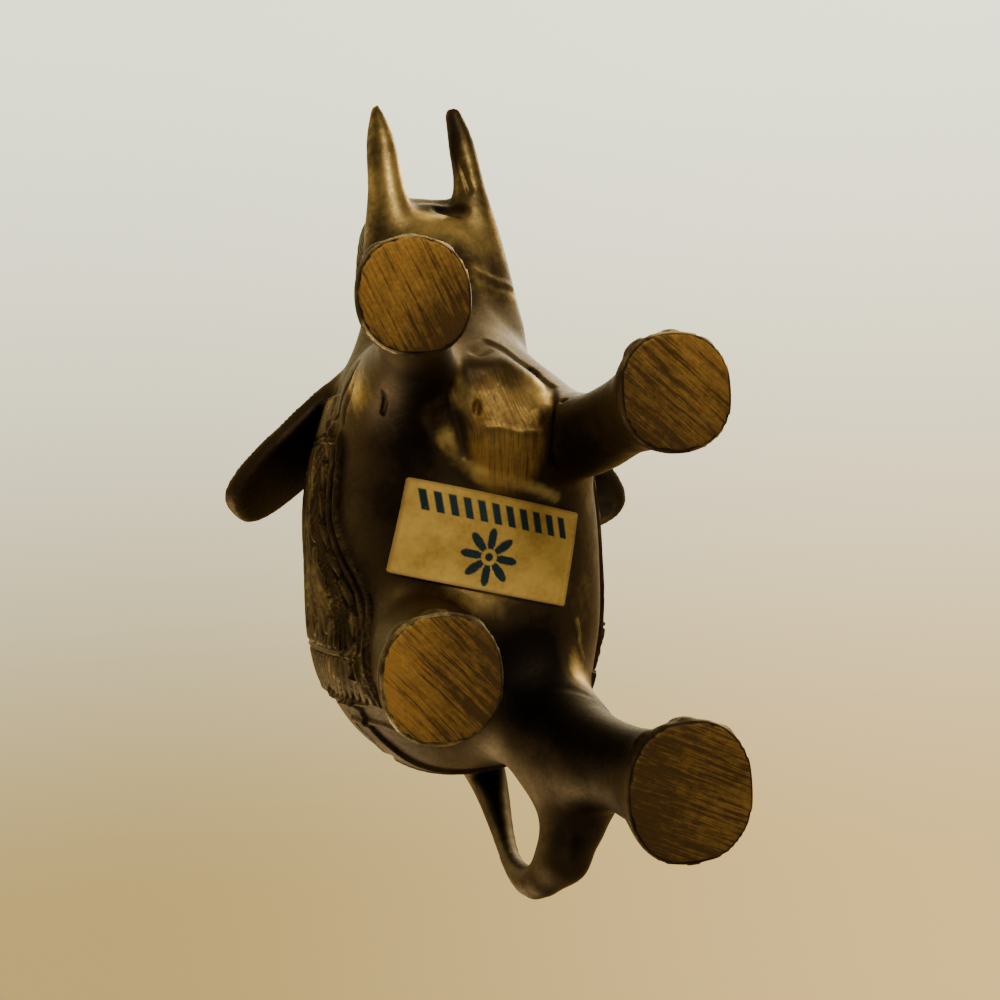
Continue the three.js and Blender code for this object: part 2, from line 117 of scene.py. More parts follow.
# Paper label
LABEL = dict(centre=(-0.3, 7.2), width=22, height=11.5, turn=15, thickness=0.25, gap=0.3)

# The net that the casting's surface is drawn with
CELL = 0.5
BLOCK_CELLS = 12
NET_BOX = ((-28.5, -52, -1.5), (28.5, 51, 87))
MOST_TRIANGLES = 195000

# Points are worked on in cubes of this size, so that forms too far to matter can be left out
POINT_BLOCK = 8.0
ROUGH_BLOCK = 24.0
KEY_STRIDE = 4096
# Beyond every form
FAR = 1e3


def smooth_min(a, b, blend):
    overlap = np.maximum(blend - np.abs(a - b), 0) / blend
    return np.minimum(a, b) - overlap * overlap * blend / 4


def smooth_step(value, low, high):
    share = np.clip((value - low) / (high - low), 0, 1)
    return share * share * (3 - 2 * share)


def bump(value, middle, half):
    """A smooth ridge of height 1 at middle, which ends half to each side"""
    share = np.clip(np.abs(value - middle) / half, 0, 1)
    return (1 - share * share) ** 2


def turned(u, v, degrees):
    """How far places are along and across a direction that is turned by this much"""
    turn = math.radians(degrees)
    return u * math.cos(turn) + v * math.sin(turn), v * math.cos(turn) - u * math.sin(turn)


def rounded_reach(away, half, power):
    """How far points are out from a rounded form's middle, as a share of the way to its outline"""
    return np.maximum(((np.abs(away) / half) ** power).sum(1), 1e-6) ** (1 / power)


def rounded_distance(away, half, power):
    """Distance to a rounded form's outline, negative inside"""
    reach = rounded_reach(away, half, power)
    slope = np.linalg.norm(np.abs(away) ** (power - 1) / half ** power, axis=1) * reach ** (1 - power)
    return (reach - 1) / np.maximum(slope, 1e-6)


def lattice(*ticks):
    """Every point of a lattice with these ticks along its axes"""
    return np.stack(np.meshgrid(*ticks, indexing="ij"), -1).reshape(-1, len(ticks))


def mass(shape, blend):
    """A rounded mass, as a form of the casting"""
    centre, half = np.array(shape["centre"], float), np.array(shape["half"], float)

    def distance(points):
        return rounded_distance(points - centre, half, shape["power"])

    return dict(distance=distance, blend=blend, centre=centre, reach=np.linalg.norm(half))


def along_rows(rows, steps):
    """Centres and radii along a smooth curve through a rod's rows"""
    rows = np.asarray(rows, float)
    before = 2 * rows[0] - rows[1]
    after = 2 * rows[-1] - rows[-2]
    knots = np.vstack([before, rows, after])
    stations = []
    for n in range(len(rows) - 1):
        a, b, c, d = knots[n:n + 4]
        for step in range(steps):
            t = step / steps
            stations.append(0.5 * (2 * b + (c - a) * t + (2 * a - 5 * b + 4 * c - d) * t ** 2
                                   + (3 * b - a - 3 * c + d) * t ** 3))
    return np.vstack([stations, rows[-1]])


def taper_distance(points, a, b):
    """Distance to a tapered rod with round ends"""
    axis = b[:3] - a[:3]
    length2 = axis @ axis
    fall = a[3] - b[3]
    slant2 = length2 - fall * fall
    away = points - a[:3]
    along = away @ axis
    beyond = along - length2
    across2 = ((away * length2 - along[:, None] * axis) ** 2).sum(1)
    k = np.sign(fall) * fall * fall * across2
    far_end = np.sqrt(across2 + beyond * beyond * length2) / length2 - b[3]
    near_end = np.sqrt(across2 + along * along * length2) / length2 - a[3]
    side = (np.sqrt(across2 * slant2 / length2) + along * fall) / length2 - a[3]
    return np.where(np.sign(beyond) * slant2 * beyond * beyond * length2 > k, far_end,
                    np.where(np.sign(along) * slant2 * along * along * length2 < k, near_end, side))


def rod(rows, blend, steps=3):
    """A chain of tapered rods, as a form of the casting"""
    stations = along_rows(rows, steps)
    low = (stations[:, :3] - stations[:, 3:]).min(0)
    high = (stations[:, :3] + stations[:, 3:]).max(0)

    def distance(points):
        least = np.full(len(points), FAR)
        middle = points.mean(0)
        reach = np.linalg.norm(points - middle, axis=1).max()
        spans = np.array([np.linalg.norm(middle - (a + b)[:3] / 2) - np.linalg.norm((b - a)[:3]) / 2
                          - max(a[3], b[3]) for a, b in zip(stations, stations[1:])])
        fair = spans.min() + 2 * reach + 2 * stations[:, 3].max() + 2 * blend
        for n in np.flatnonzero(spans <= fair):
            least = np.minimum(least, taper_distance(points, stations[n], stations[n + 1]))
        return least

    half_size = np.linalg.norm(high - low) / 2
    return dict(distance=distance, blend=blend, centre=(low + high) / 2, reach=half_size)


def leg_rows(leg):
    neck, knee, thigh = leg["radii"]
    sole, middle = np.array(leg["sole"]), np.array(leg["knee"])
    shin = [(*(sole + share * (middle - sole)), height, neck + wider) for share, height, wider in SHIN_ROWS]
    return [*shin, (*leg["knee"], KNEE_HEIGHT, knee), (*leg["hip"], HIP_HEIGHT, thigh)]


def foot_of(leg):
    half = (*leg["foot"], FOOT_HALF_HEIGHT)
    return dict(centre=(*leg["sole"], FOOT_MIDDLE), half=half, power=FOOT_SQUARENESS)


def ear_frame(side, root, sweep):
    """The root and the along, up and back directions of an ear"""
    flip = np.array([side, 1, 1])
    swept, lean = math.radians(sweep), math.radians(EAR["lean"])
    along = np.array([math.cos(swept), math.sin(swept), 0])
    level = math.cos(lean)
    back = np.array([-math.sin(swept) * level, math.cos(swept) * level, -math.sin(lean)])
    up = np.cross(along, back)
    return np.array(root) * flip, along * flip, up * flip, back * flip


def ear_place(points, placing):
    """Where points are along and up an ear, and how far in front of or behind its middle sheet"""
    root, along, up, back = ear_frame(**placing)
    away = points - root
    x, y, w = away @ along, away @ up, away @ back
    cup = EAR["cup_along"] * np.maximum(x - EAR["cup_start"], 0) ** 2
    return x, y, w - EAR["offset"] + cup + EAR["cup_up"] * (y - EAR["middle"][1]) ** 2


def ear_outline(x, y):
    """Distance to the ear's outline in its own plane, negative inside"""
    away = np.stack([x, y], 1) - EAR["middle"]
    return rounded_distance(away, np.array(EAR["half"]), EAR["squareness"])


def ear(placing):
    root, along, up, _ = ear_frame(**placing)

    def distance(points):
        x, y, w = ear_place(points, placing)
        rim = EAR["rim"]
        across = np.abs(w) - EAR["half_thickness"] + rim
        around = ear_outline(x, y) + rim
        outside = np.hypot(np.maximum(across, 0), np.maximum(around, 0))
        return outside + np.minimum(np.maximum(across, around), 0) - rim

    centre = root + EAR["middle"][0] * along + EAR["middle"][1] * up
    return dict(distance=distance, blend=EAR_BLEND, centre=centre, reach=math.hypot(*EAR["half"]) + 2)


BODY_FORMS = [*[mass(shape, BODY_BLEND) for shape in (BARREL, RUMP, CHEST)], rod(NECK, NECK_BLEND)]
HEAD_FORMS = [
    *[mass(dome, HEAD_BLEND) for dome in SKULL_DOMES],
    rod(LOWER_JAW, HEAD_BLEND),
    rod([*CHEEK_RIGHT, *TUSK_RIGHT], TUSK_BLEND),
    rod([*CHEEK_LEFT, *TUSK_LEFT], TUSK_BLEND),
    rod([*TRUNK_ROOT, *TRUNK_TIP], HEAD_BLEND),
    rod(UPPER_LIP, TUSK_BLEND),
    mass(MOUTH_WEB, MOUTH_BLEND),
]
LEG_FORMS = [
    *[rod(leg_rows(leg), LEG_BLEND) for leg in LEGS],
    *[mass(foot_of(leg), FOOT_BLEND) for leg in LEGS],
]
# The body and the right thigh, which the cloth lies on
COVERED_FORMS = [*BODY_FORMS, LEG_FORMS[2]]
CAST_FORMS = [
    *BODY_FORMS,
    *HEAD_FORMS,
    mass(BREASTBONE, BREAST_BLEND),
    *LEG_FORMS,
    rod(TAIL_WEB, WEB_BLEND),
    rod(TAIL, TAIL_BLEND),
    *[ear(placing) for placing in EARS],
]


def block_distance(forms, points):
    """Distance from a close group of points to forms that melt together"""
    middle = points.mean(0)
    reach = np.linalg.norm(points - middle, axis=1).max()
    least = np.full(len(points), FAR)
    nearest = FAR
    for form in forms:
        far = np.linalg.norm(middle - form["centre"]) - form["reach"] - reach
        if far > nearest + form["blend"]:
            continue
        least = smooth_min(least, form["distance"](points), form["blend"])
        nearest = least.max()
    return least


def distance_to(forms, points, block=POINT_BLOCK):
    key = np.floor(points / block).astype(np.int64)
    code = (key[:, 0] * KEY_STRIDE + key[:, 1]) * KEY_STRIDE + key[:, 2]
    order = np.argsort(code, kind="stable")
    result = np.empty(len(points))
    for chosen in np.split(order, np.flatnonzero(np.diff(code[order])) + 1):
        result[chosen] = block_distance(forms, points[chosen])
    return result


def cast_grid():
    """Distances on a fine grid, worked out only in the blocks that the surface crosses"""
    low = np.array(NET_BOX[0], float)
    span = np.array(NET_BOX[1]) - low
    block_size = CELL * BLOCK_CELLS
    blocks = np.ceil(span / block_size).astype(int)
    value = np.empty(blocks * BLOCK_CELLS + 1, np.float32)
    places = np.array(list(np.ndindex(*blocks)))
    middles = low + (places + 0.5) * block_size
    rough = sole_cut(distance_to(CAST_FORMS, middles, ROUGH_BLOCK), middles)
    near = np.abs(rough) < block_size
    corners = lattice(*[np.arange(BLOCK_CELLS + 1) * CELL] * 3)
    for n in np.argsort(near, kind="stable"):
        part = tuple(slice(start, start + BLOCK_CELLS + 1) for start in places[n] * BLOCK_CELLS)
        if near[n]:
            points = low + places[n] * block_size + corners
            value[part] = sole_cut(block_distance(CAST_FORMS, points), points).reshape(value[part].shape)
        else:
            value[part] = np.sign(rough[n])
    return value, low


def sole_cut(distance, points):
    """The four soles are filed flat on the ground, with a small round at the edge"""
    return -smooth_min(-distance, points[:, 2], SOLE_EDGE)


def surface_net(value, low):
    """One point for each cell that the surface crosses, joined across every crossed edge"""
    inside = value < 0
    shape = np.array(value.shape) - 1
    count = np.zeros(shape, np.int8)
    corners = np.array(list(np.ndindex(2, 2, 2)))
    for i, j, k in corners:
        count += inside[i:shape[0] + i, j:shape[1] + j, k:shape[2] + k]
    cells = np.argwhere((count > 0) & (count < 8))
    index = np.full(shape, -1, np.int64)
    index[tuple(cells.T)] = np.arange(len(cells))
    total = np.zeros((len(cells), 3))
    hits = np.zeros(len(cells))
    for a, b in combinations(corners, 2):
        if np.abs(a - b).sum() == 1:
            va, vb = (value[tuple((cells + corner).T)].astype(float) for corner in (a, b))
            cross = (va < 0) != (vb < 0)
            share = np.where(cross, va / np.where(cross, va - vb, 1), 0)
            total += np.where(cross[:, None], a + share[:, None] * (b - a), 0)
            hits += cross
    points = (cells + total / hits[:, None]) * CELL + low
    quads = []
    for axis in range(3):
        u, v = np.roll(np.eye(3, dtype=int), -1 - axis, axis=0)[:2]
        change = np.diff(inside.astype(np.int8), axis=axis)
        edge = np.argwhere(change)
        ring = np.stack([index[tuple((edge - step).T)] for step in (u + v, v, 0 * v, u)], 1)
        quads.append(np.where(change[tuple(edge.T)][:, None] < 0, ring, ring[:, ::-1]))
    quads = np.vstack(quads)
    across = np.linalg.norm(points[quads[:, 0]] - points[quads[:, 2]], axis=1)
    other = np.linalg.norm(points[quads[:, 1]] - points[quads[:, 3]], axis=1)
    halves = np.where((across < other)[:, None], quads[:, [0, 1, 2, 0, 2, 3]], quads[:, [0, 1, 3, 1, 2, 3]])
    return points, halves.reshape(-1, 3)


def refined(points, faces, chosen):
    """Splits the chosen triangles in four, and their neighbours so that no edge is left open"""
    sides = np.sort(faces[:, [0, 1, 1, 2, 2, 0]].reshape(-1, 2), axis=1)
    names, place = np.unique(sides[:, 0] * len(points) + sides[:, 1], return_inverse=True)
    place = place.reshape(-1, 3)
    split = np.zeros(len(names), bool)
    split[place[chosen].ravel()] = True
    count = split[place].sum(1)
    while (count == 2).any():
        split[place[count == 2].ravel()] = True
        count = split[place].sum(1)
    number = np.cumsum(split) - 1 + len(points)
    ends = np.stack([names[split] // len(points), names[split] % len(points)], 1)
    points = np.vstack([points, points[ends].mean(1)])
    whole = faces[count == 0]
    a, b, c = faces[count == 3].T
    ab, bc, ca = number[place[count == 3]].T
    fours = np.stack([a, ab, ca, ab, b, bc, ca, bc, c, ab, bc, ca], 1).reshape(-1, 3)
    halved = faces[count == 1]
    side = np.argmax(split[place[count == 1]], axis=1)
    rows = np.arange(len(halved))
    a, b, c = halved[rows, side], halved[rows, (side + 1) % 3], halved[rows, (side + 2) % 3]
    middle = number[place[count == 1][rows, side]]
    twos = np.stack([a, middle, c, middle, b, c], 1).reshape(-1, 3)
    return points, np.vstack([whole, fours, twos])


def normals_of(points, faces):
    a, b, c = (points[faces[:, n]] for n in range(3))
    across = np.cross(b - a, c - a)
    total = np.zeros_like(points)
    for n in range(3):
        for axis in range(3):
            total[:, axis] += np.bincount(faces[:, n], across[:, axis], len(points))
    return total / np.maximum(np.linalg.norm(total, axis=1), 1e-12)[:, None]


def hem_turn(points):
    """How far below the level the cloth's hem is, as an angle about the body's axis"""
    share = smooth_step(points[:, 1], CLOTH["drop_start"], CLOTH["drop_start"] + CLOTH["drop_length"])
    right = CLOTH["front_hem"] + share * (CLOTH["rear_hem"] - CLOTH["front_hem"])
    return np.radians(np.where(points[:, 0] < 0, right, CLOTH["left_hem"]))


def cloth_place(points):
    """How far points are above the hem and inside the cloth's rear and front edges"""
    x, y, z = points.T
    reach = np.hypot(x, z - BODY_AXIS_HEIGHT)
    turn = np.arctan2(z - BODY_AXIS_HEIGHT, np.abs(x))
    return (turn - hem_turn(points)) * reach, CLOTH["rear"] - y, y - CLOTH["front"]


# Carving of the cloth, placed by how far in it is from the cloth's edge
EDGE_LINE = 0.4
SECOND_LINE = 1.9
INNER_LINES = (5.2, 6.3)
LINE = dict(half=0.45, height=0.5)
LEAF_BAND = (2.4, 4.7)
LEAF = dict(length=3.6, height=0.8, vein=0.1, vein_start=0.15, vein_depth=0.35)
FIELD = dict(start=6.8, spacing=1.6, length=6.5, height=0.65, wave=0.9, wave_length=13.0)
SPINE = dict(line=2.9, above=54, leaf_length=5)
FRINGE = dict(start=0.5, end=5.4, spacing=1.3, slant=0.25, height=0.55)
RIBBON = dict(line=5.9, half=0.6, height=0.6)
STROKE_CROWN = 0.95
STROKE_SQUARENESS = 6
SOFT_EDGE = 0.4
STEP_WIDTH = 0.25
CARVING_DEPTH = 0.1


def strokes(across, along, spacing, length, stagger=0.37):
    """Rows of long rounded strokes, each row set back from the one before"""
    row = np.floor(across / spacing)
    u = across / spacing - row - 0.5
    v = along / length - (row * stagger) % 1.0
    v = v - np.floor(v) - 0.5
    return np.sqrt(np.maximum(1 - (2 * u) ** 2 * STROKE_CROWN - (2 * v) ** STROKE_SQUARENESS, 0))


def leaves(along, across, length):
    """Overlapping veined leaves, pointed backwards, across a band whose width is 1"""
    u = along / length
    u = u - np.floor(u)
    half = 0.5 * np.sqrt(np.clip(u * 1.25, 0, 1)) * (1 - smooth_step(u, 0.35, 1.0) * 0.85)
    v = np.abs(across - 0.5) / np.maximum(half, 0.05)
    body = np.sqrt(np.maximum(1 - v * v, 0)) * (0.45 + 0.55 * (1 - u))
    vein = bump(across - 0.5, 0, LEAF["vein"]) * (u > LEAF["vein_start"])
    return body - LEAF["vein_depth"] * vein * body


def share_between(value, low, high, soft=0.15):
    """1 between low and high, with soft ends, and 0 beyond"""
    return smooth_step(value, low, low + soft) * (1 - smooth_step(value, high - soft, high))


def hem_carving(y, side):
    """Lines and a band of leaves along the hem"""
    lines = sum(bump(side, line, LINE["half"]) for line in (SECOND_LINE, *INNER_LINES))
    band = (side - LEAF_BAND[0]) / (LEAF_BAND[1] - LEAF_BAND[0])
    leafy = LEAF["height"] * leaves(y, band, LEAF["length"]) * share_between(side, *LEAF_BAND)
    return LINE["height"] * lines + leafy


def field_carving(points, side):
    """Waved rows of strokes, and a band of leaves along the spine"""
    x, y, z = points.T
    waved = side - FIELD["start"] + FIELD["wave"] * np.sin(2 * math.pi * y / FIELD["wave_length"])
    rows = FIELD["height"] * strokes(waved, y, FIELD["spacing"], FIELD["length"])
    rows = rows * smooth_step(side, FIELD["start"], FIELD["start"] + 0.2)
    off_spine = np.where(z > SPINE["above"], np.abs(x), BODY_HALF_WIDTH)
    leafy = LEAF["height"] * leaves(y, (x / SPINE["line"] + 1) / 2, SPINE["leaf_length"])
    leafy = leafy * (1 - smooth_step(off_spine, SPINE["line"] - 0.5, SPINE["line"] - 0.3))
    line = LINE["height"] * bump(off_spine, SPINE["line"], LINE["half"])
    return rows * smooth_step(off_spine, SPINE["line"] + 0.3, SPINE["line"] + 0.6) + (line + leafy)


def end_carving(side, end):
    """A slanting fringe at the front and rear, and a ribbon inside it"""
    rows = strokes(side + FRINGE["slant"] * end, end, FRINGE["spacing"], 2 * FRINGE["end"], stagger=0)
    fringe = FRINGE["height"] * rows * share_between(end, FRINGE["start"], FRINGE["end"])
    ribbon = RIBBON["height"] * bump(end, RIBBON["line"], RIBBON["half"])
    return (fringe + ribbon) * smooth_step(side, 1, 1.4)


def cloth_carving(points):
    """How far the saddle cloth's carving stands over its ground, and 1 on the cloth"""
    side, rear, front = cloth_place(points)
    end = np.minimum(rear, front)
    edge = np.minimum(side, end)
    field = field_carving(points, side) * smooth_step(end, RIBBON["line"] + 0.3, RIBBON["line"] + 0.7)
    hem = hem_carving(points[:, 1], side) * smooth_step(end - side, -SOFT_EDGE, SOFT_EDGE)
    carving = hem + (field + end_carving(side, end))
    line = LINE["height"] * bump(edge, EDGE_LINE, LINE["half"])
    carving = line + carving * smooth_step(edge, EDGE_LINE, EDGE_LINE + SOFT_EDGE)
    return carving, smooth_step(edge, -STEP_WIDTH, STEP_WIDTH)


def cloth_relief(points):
    """Height of the saddle cloth and its carving over the hide"""
    carving, on_cloth = cloth_carving(points)
    return (CLOTH["thickness"] - CARVING_DEPTH + carving) * on_cloth


# The hind strap runs from the cloth round under the tail, about a pole inside the rump
STRAP = dict(start_turn=-33, end_turn=-12, start=25.0, end=38.5, pole=24, half=1.7, height=0.4)
STRAP_SEAM = dict(inset=0.35, half=0.4, height=0.2)


def strap_relief(points):
    x, y, z = points.T
    behind = np.maximum(y - STRAP["pole"], 0)
    share = np.clip((y - STRAP["start"]) / (STRAP["end"] - STRAP["start"]), 0, 1)
    turn = np.arctan2(z - BODY_AXIS_HEIGHT, np.hypot(x, behind))
    middle = np.radians(STRAP["start_turn"] + share * (STRAP["end_turn"] - STRAP["start_turn"]))
    reach = np.sqrt(x * x + behind ** 2 + (z - BODY_AXIS_HEIGHT) ** 2)
    off = np.abs((turn - middle) * reach)
    raised = 1 - smooth_step(off, STRAP["half"] - STEP_WIDTH, STRAP["half"] + STEP_WIDTH)
    seam = bump(off, STRAP["half"] - STRAP_SEAM["inset"], STRAP_SEAM["half"])
    return (STRAP["height"] * raised + STRAP_SEAM["height"] * seam) * (y > STRAP["start"])


HIDE_FADE = (0.5, 1.3)


def body_share(points):
    """1 on the hide that the cloth covers, and 0 on what stands off it"""
    return 1 - smooth_step(distance_to(COVERED_FORMS, points), *HIDE_FADE)


# Eyes, trunk rings and toenails
EYE = dict(place=(-31.3, 56.8), ball=1.35, height=0.7, inner=3)
EYE_LID = dict(size=(2.8, 1.8), half=0.35, height=0.35)
RING = dict(spacing=2.3, half=0.28, depth=0.22, bow=0.06, front=(33.0, 36.0), above=(52, 55))
TOE_TURNS = (-38, 0, 38)
TOE = dict(height=2.0, half_width=1.5, half_height=1.5, lift=0.4, reach=1.5, below=6)


def eye_relief(points):
    along, up = points[:, 1] - EYE["place"][0], points[:, 2] - EYE["place"][1]
    lid = bump(np.hypot(along / EYE_LID["size"][0], up / EYE_LID["size"][1]), 1.0, EYE_LID["half"])
    ball = np.sqrt(np.maximum(1 - (along ** 2 + up ** 2) / EYE["ball"] ** 2, 0))
    return (EYE_LID["height"] * lid + EYE["height"] * ball) * (np.abs(points[:, 0]) > EYE["inner"])


def trunk_relief(points):
    x, y, z = points.T
    front = smooth_step(-y, *RING["front"]) * smooth_step(z, *RING["above"])
    groove = bump(((z + RING["bow"] * x * x) / RING["spacing"]) % 1.0, 0.5, RING["half"])
    return -RING["depth"] * groove * front


def toe_relief(points):
    height = np.zeros(len(points))
    for leg in LEGS:
        dx, dy = points[:, 0] - leg["sole"][0], points[:, 1] - leg["sole"][1]
        turn = np.arctan2(dx, -dy)
        near = (np.hypot(dx, dy) < max(leg["foot"]) + TOE["reach"]) & (points[:, 2] < TOE["below"])
        for toe in TOE_TURNS:
            u = (turn - math.radians(toe)) * max(leg["foot"]) / TOE["half_width"]
            v = (points[:, 2] - TOE["height"]) / TOE["half_height"]
            height += TOE["lift"] * np.sqrt(np.maximum(1 - u * u - v * v, 0)) * near
    return height


def trace(*path, half, depth, wear_light_and_shade=0):
    """A tool's mark: its path, half width, depth, which is below 0 where it stands proud, and how much it
    brightens the brass with wear and painted highlight, which is below 0 where dirt and painted shade darken
    it
    """
    return dict(path=path, half=half, depth=depth, wear_light_and_shade=wear_light_and_shade)


# Marks with wear below 0 are darkened with dirt and painted shade, mostly slits, pits and hollows; above 0
# they are brightened with wear and painted highlight
MARKS = dict(
    tusk_groove=trace(
        (4, -47, 46.2), (4.1, -44.1, 45.3), (4.5, -41.4, 44.5), (5.2, -38.4, 43.9), half=0.6, depth=0.4),
    mouth_hollow=trace((1.2, -36, 45), (3.6, -35.6, 43.7), half=1.5, depth=0.45, wear_light_and_shade=-0.2),
    throat_ridge=trace((4, -27, 39.6), (7.7, -25.9, 41.1), (10, -25.4, 43), half=0.9, depth=-0.2, wear_light_and_shade=0.1),
    throat_fold=trace(
        (4, -25.4, 39.2), (7.9, -24.3, 40.8), (10, -23.8, 42.8), half=1.3, depth=-0.12, wear_light_and_shade=0.12),
    chest_shelf=trace((0, -13.4, 24.6), (3, -13.8, 25.4), (6, -12.6, 26), half=3, depth=-0.7, wear_light_and_shade=-0.12),
    chest_top=trace(
        (0, -15.8, 26.1), (2.2, -16.8, 28.6), (4, -16.1, 28.6), (5.7, -14.9, 28.8), (8.1, -13.5, 29.3),
        half=1.5, depth=0.4),
    chest_left=trace(
        (8.1, -13.5, 29.3), (9.1, -11.4, 26.5), (7.6, -9.2, 22.7), (6.8, -6.9, 20.9), (6.4, -5.5, 20.8),
        (6.9, -1.6, 22.3), half=1.1, depth=0.5, wear_light_and_shade=-0.3),
    chest_right=trace(
        (-4.9, -11, 21.9), (-3.7, -7.3, 23.8), (-2.8, -3.2, 24.2), half=0.9, depth=0.4, wear_light_and_shade=-0.2),
    chest_pit=trace((-1.3, -9.2, 23.2), (-1.4, -8.3, 23.2), half=0.6, depth=0.5, wear_light_and_shade=-0.6),
    ridge_line=trace(
        (-0.5, -6.5, 23.1), (1.2, -6.4, 23.1), (3.6, -5.7, 22.9), (6.2, -5.8, 22.3), half=0.5, depth=-0.25,
        wear_light_and_shade=0.3),
    leg_pit=trace((8.5, -9.2, 21.2), (8.7, -9, 21), half=0.5, depth=0.4, wear_light_and_shade=-0.4),
    side_bulge=trace(
        (-6.4, -9.2, 22.5), (-6.2, -7.4, 24.1), (-5, -5.2, 24.9), half=1.9, depth=-0.5, wear_light_and_shade=0.35),
    bulge_tail=trace(
        (-5, -5.2, 24.9), (-4.3, -3.3, 25), (-2.8, -1.6, 24.5), (-1.2, -0.7, 24.3), half=1.6, depth=-0.15,
        wear_light_and_shade=0.3),
    label_strip=trace(
        (-1.2, -0.9, 24.3), (2.7, 0.1, 24.6), (6.4, 1.3, 25.1), (8.5, 2.3, 25.6), half=1.1, depth=-0.1,
        wear_light_and_shade=0.4),
    shoulder_slit=trace(
        (-12.7, -11, 22.6), (-12.2, -9.9, 23.9), (-12.2, -8.7, 25.9), half=0.5, depth=0.35, wear_light_and_shade=-0.3),
    collar=trace(
        (-13.4, -15.3, 31.5), (-14.4, -13.3, 32.5), (-15.2, -11, 35.2), (-15.4, -8.8, 37), half=0.5,
        depth=0.4),
    collar_edge=trace(
        (-13.6, -14, 30), (-14.6, -12, 31.2), (-15, -10, 33.4), (-15, -8, 34.4), half=0.5, depth=0.35),
    chip=trace(
        (11, 17.6, 27.7), (11.4, 19.4, 28.2), (11.3, 20.4, 28.1), (11.7, 22.4, 28.4), half=0.4, depth=-0.25,
        wear_light_and_shade=0.4),
    strap_edge=trace(
        (-16.9, 24.8, 40), (-16.5, 25.7, 37.1), (-15.8, 25.6, 33), (-14.9, 25.8, 29.5), (-13.2, 27.2, 27.5),
        half=1, depth=-0.5, wear_light_and_shade=0.1),
    strap_fold=trace(
        (-15.8, 28, 39), (-14.7, 28.4, 34.5), (-13.4, 28.9, 32), (-11, 30.2, 30.5), (-8, 31.5, 29.5),
        half=1, depth=-0.5, wear_light_and_shade=0.1),
    rump_slit=trace((-15, 29.4, 41.6), (-12.8, 32, 41), (-10.5, 33.8, 40.7), half=0.9, depth=0.6, wear_light_and_shade=-0.4),
    hind_crease=trace((4.4, 24.9, 23.6), (7, 25.3, 22.6), (9.6, 25.6, 21.8), half=1.2, depth=0.15),
)


def path_distance(points, path):
    """Distance to a path of straight lengths"""
    least = np.full(len(points), FAR)
    for a, b in zip(np.array(path, float), np.array(path[1:], float)):
        axis = b - a
        share = np.clip((points - a) @ axis / (axis @ axis), 0, 1)
        least = np.minimum(least, np.linalg.norm(points - a - share[:, None] * axis, axis=1))
    return least


def mark_relief(points):
    height = np.zeros(len(points))
    for mark in MARKS.values():
        height -= mark["depth"] * bump(path_distance(points, mark["path"]), 0, mark["half"])
    return height


# The breastbone is filed to two facets that meet in a ridge across it
RIDGE = dict(y=-6.0, z=22.95, front_slope=0.12, rear_slope=0.25, most=0.6)
BREAST = dict(middle=(2.1, -6.2), half=(5.0, 8.2), squareness=3, inner=0.72, low=19, high=27, fade=2)


def breast_share(points):
    """1 on the filed breastbone, and 0 off it"""
    reach = rounded_reach(points[:, :2] - BREAST["middle"], BREAST["half"], BREAST["squareness"])
    near = share_between(points[:, 2], BREAST["low"], BREAST["high"], BREAST["fade"])
    return (1 - smooth_step(reach, BREAST["inner"], 1.0)) * near


def breast_relief(points):
    before = np.maximum(RIDGE["y"] - points[:, 1], 0)
    behind = np.maximum(points[:, 1] - RIDGE["y"], 0)
    facet = RIDGE["z"] + RIDGE["front_slope"] * before + RIDGE["rear_slope"] * behind
    return -np.clip(facet - points[:, 2], 0, RIDGE["most"]) * breast_share(points)


def relief(points):
    on_body = body_share(points)
    height = cloth_relief(points) * on_body + strap_relief(points) * on_body
    height += mark_relief(points) + breast_relief(points)
    return height + eye_relief(points) + trunk_relief(points) + toe_relief(points)


def placed(name, data):
    """A new object in the scene"""
    thing = bpy.data.objects.new(name, data)
    bpy.context.scene.collection.objects.link(thing)
    return thing


def new_mesh(name, points, faces, material):
    """An object with that name, from points in millimetres"""
    mesh = bpy.data.meshes.new(name)
    faces = np.asarray(faces, np.int32)
    sides = faces.shape[1]
    mesh.vertices.add(len(points))
    mesh.vertices.foreach_set("co", ((points + TO_FRAME) * MM).astype(np.float32).ravel())
    mesh.loops.add(faces.size)
    mesh.loops.foreach_set("vertex_index", faces.ravel())
    mesh.polygons.add(len(faces))
    mesh.polygons.foreach_set("loop_start", np.arange(0, faces.size, sides, dtype=np.int32))
    mesh.polygons.foreach_set("use_smooth", np.ones(len(faces), bool))
    mesh.update(calc_edges=True)
    mesh.validate()
    mesh.materials.append(material)
    return placed(name, mesh)


def points_of(mesh):
    co = np.empty(len(mesh.vertices) * 3, np.float32)
    mesh.vertices.foreach_get("co", co)
    return co.reshape(-1, 3).astype(float) / MM - TO_FRAME


def thinned(piece, most):
    """Closes edges where the surface is smooth, until few enough triangles are left"""
    modifier = piece.modifiers.new("thin", "DECIMATE")
    modifier.ratio = most / len(piece.data.polygons)
    depsgraph = bpy.context.evaluated_depsgraph_get()
    mesh = bpy.data.meshes.new_from_object(piece.evaluated_get(depsgraph))
    piece.modifiers.clear()
    piece.data = mesh
    mesh.polygons.foreach_set("use_smooth", np.ones(len(mesh.polygons), bool))


def add_values(mesh, **named):
    """Values or vectors for each point, which a material reads by their names"""
    for name, values in named.items():
        kind, key = ("FLOAT", "value") if values.ndim == 1 else ("FLOAT_VECTOR", "vector")
        mesh.attributes.new(name, kind, "POINT").data.foreach_set(key, values.astype(np.float32).ravel())


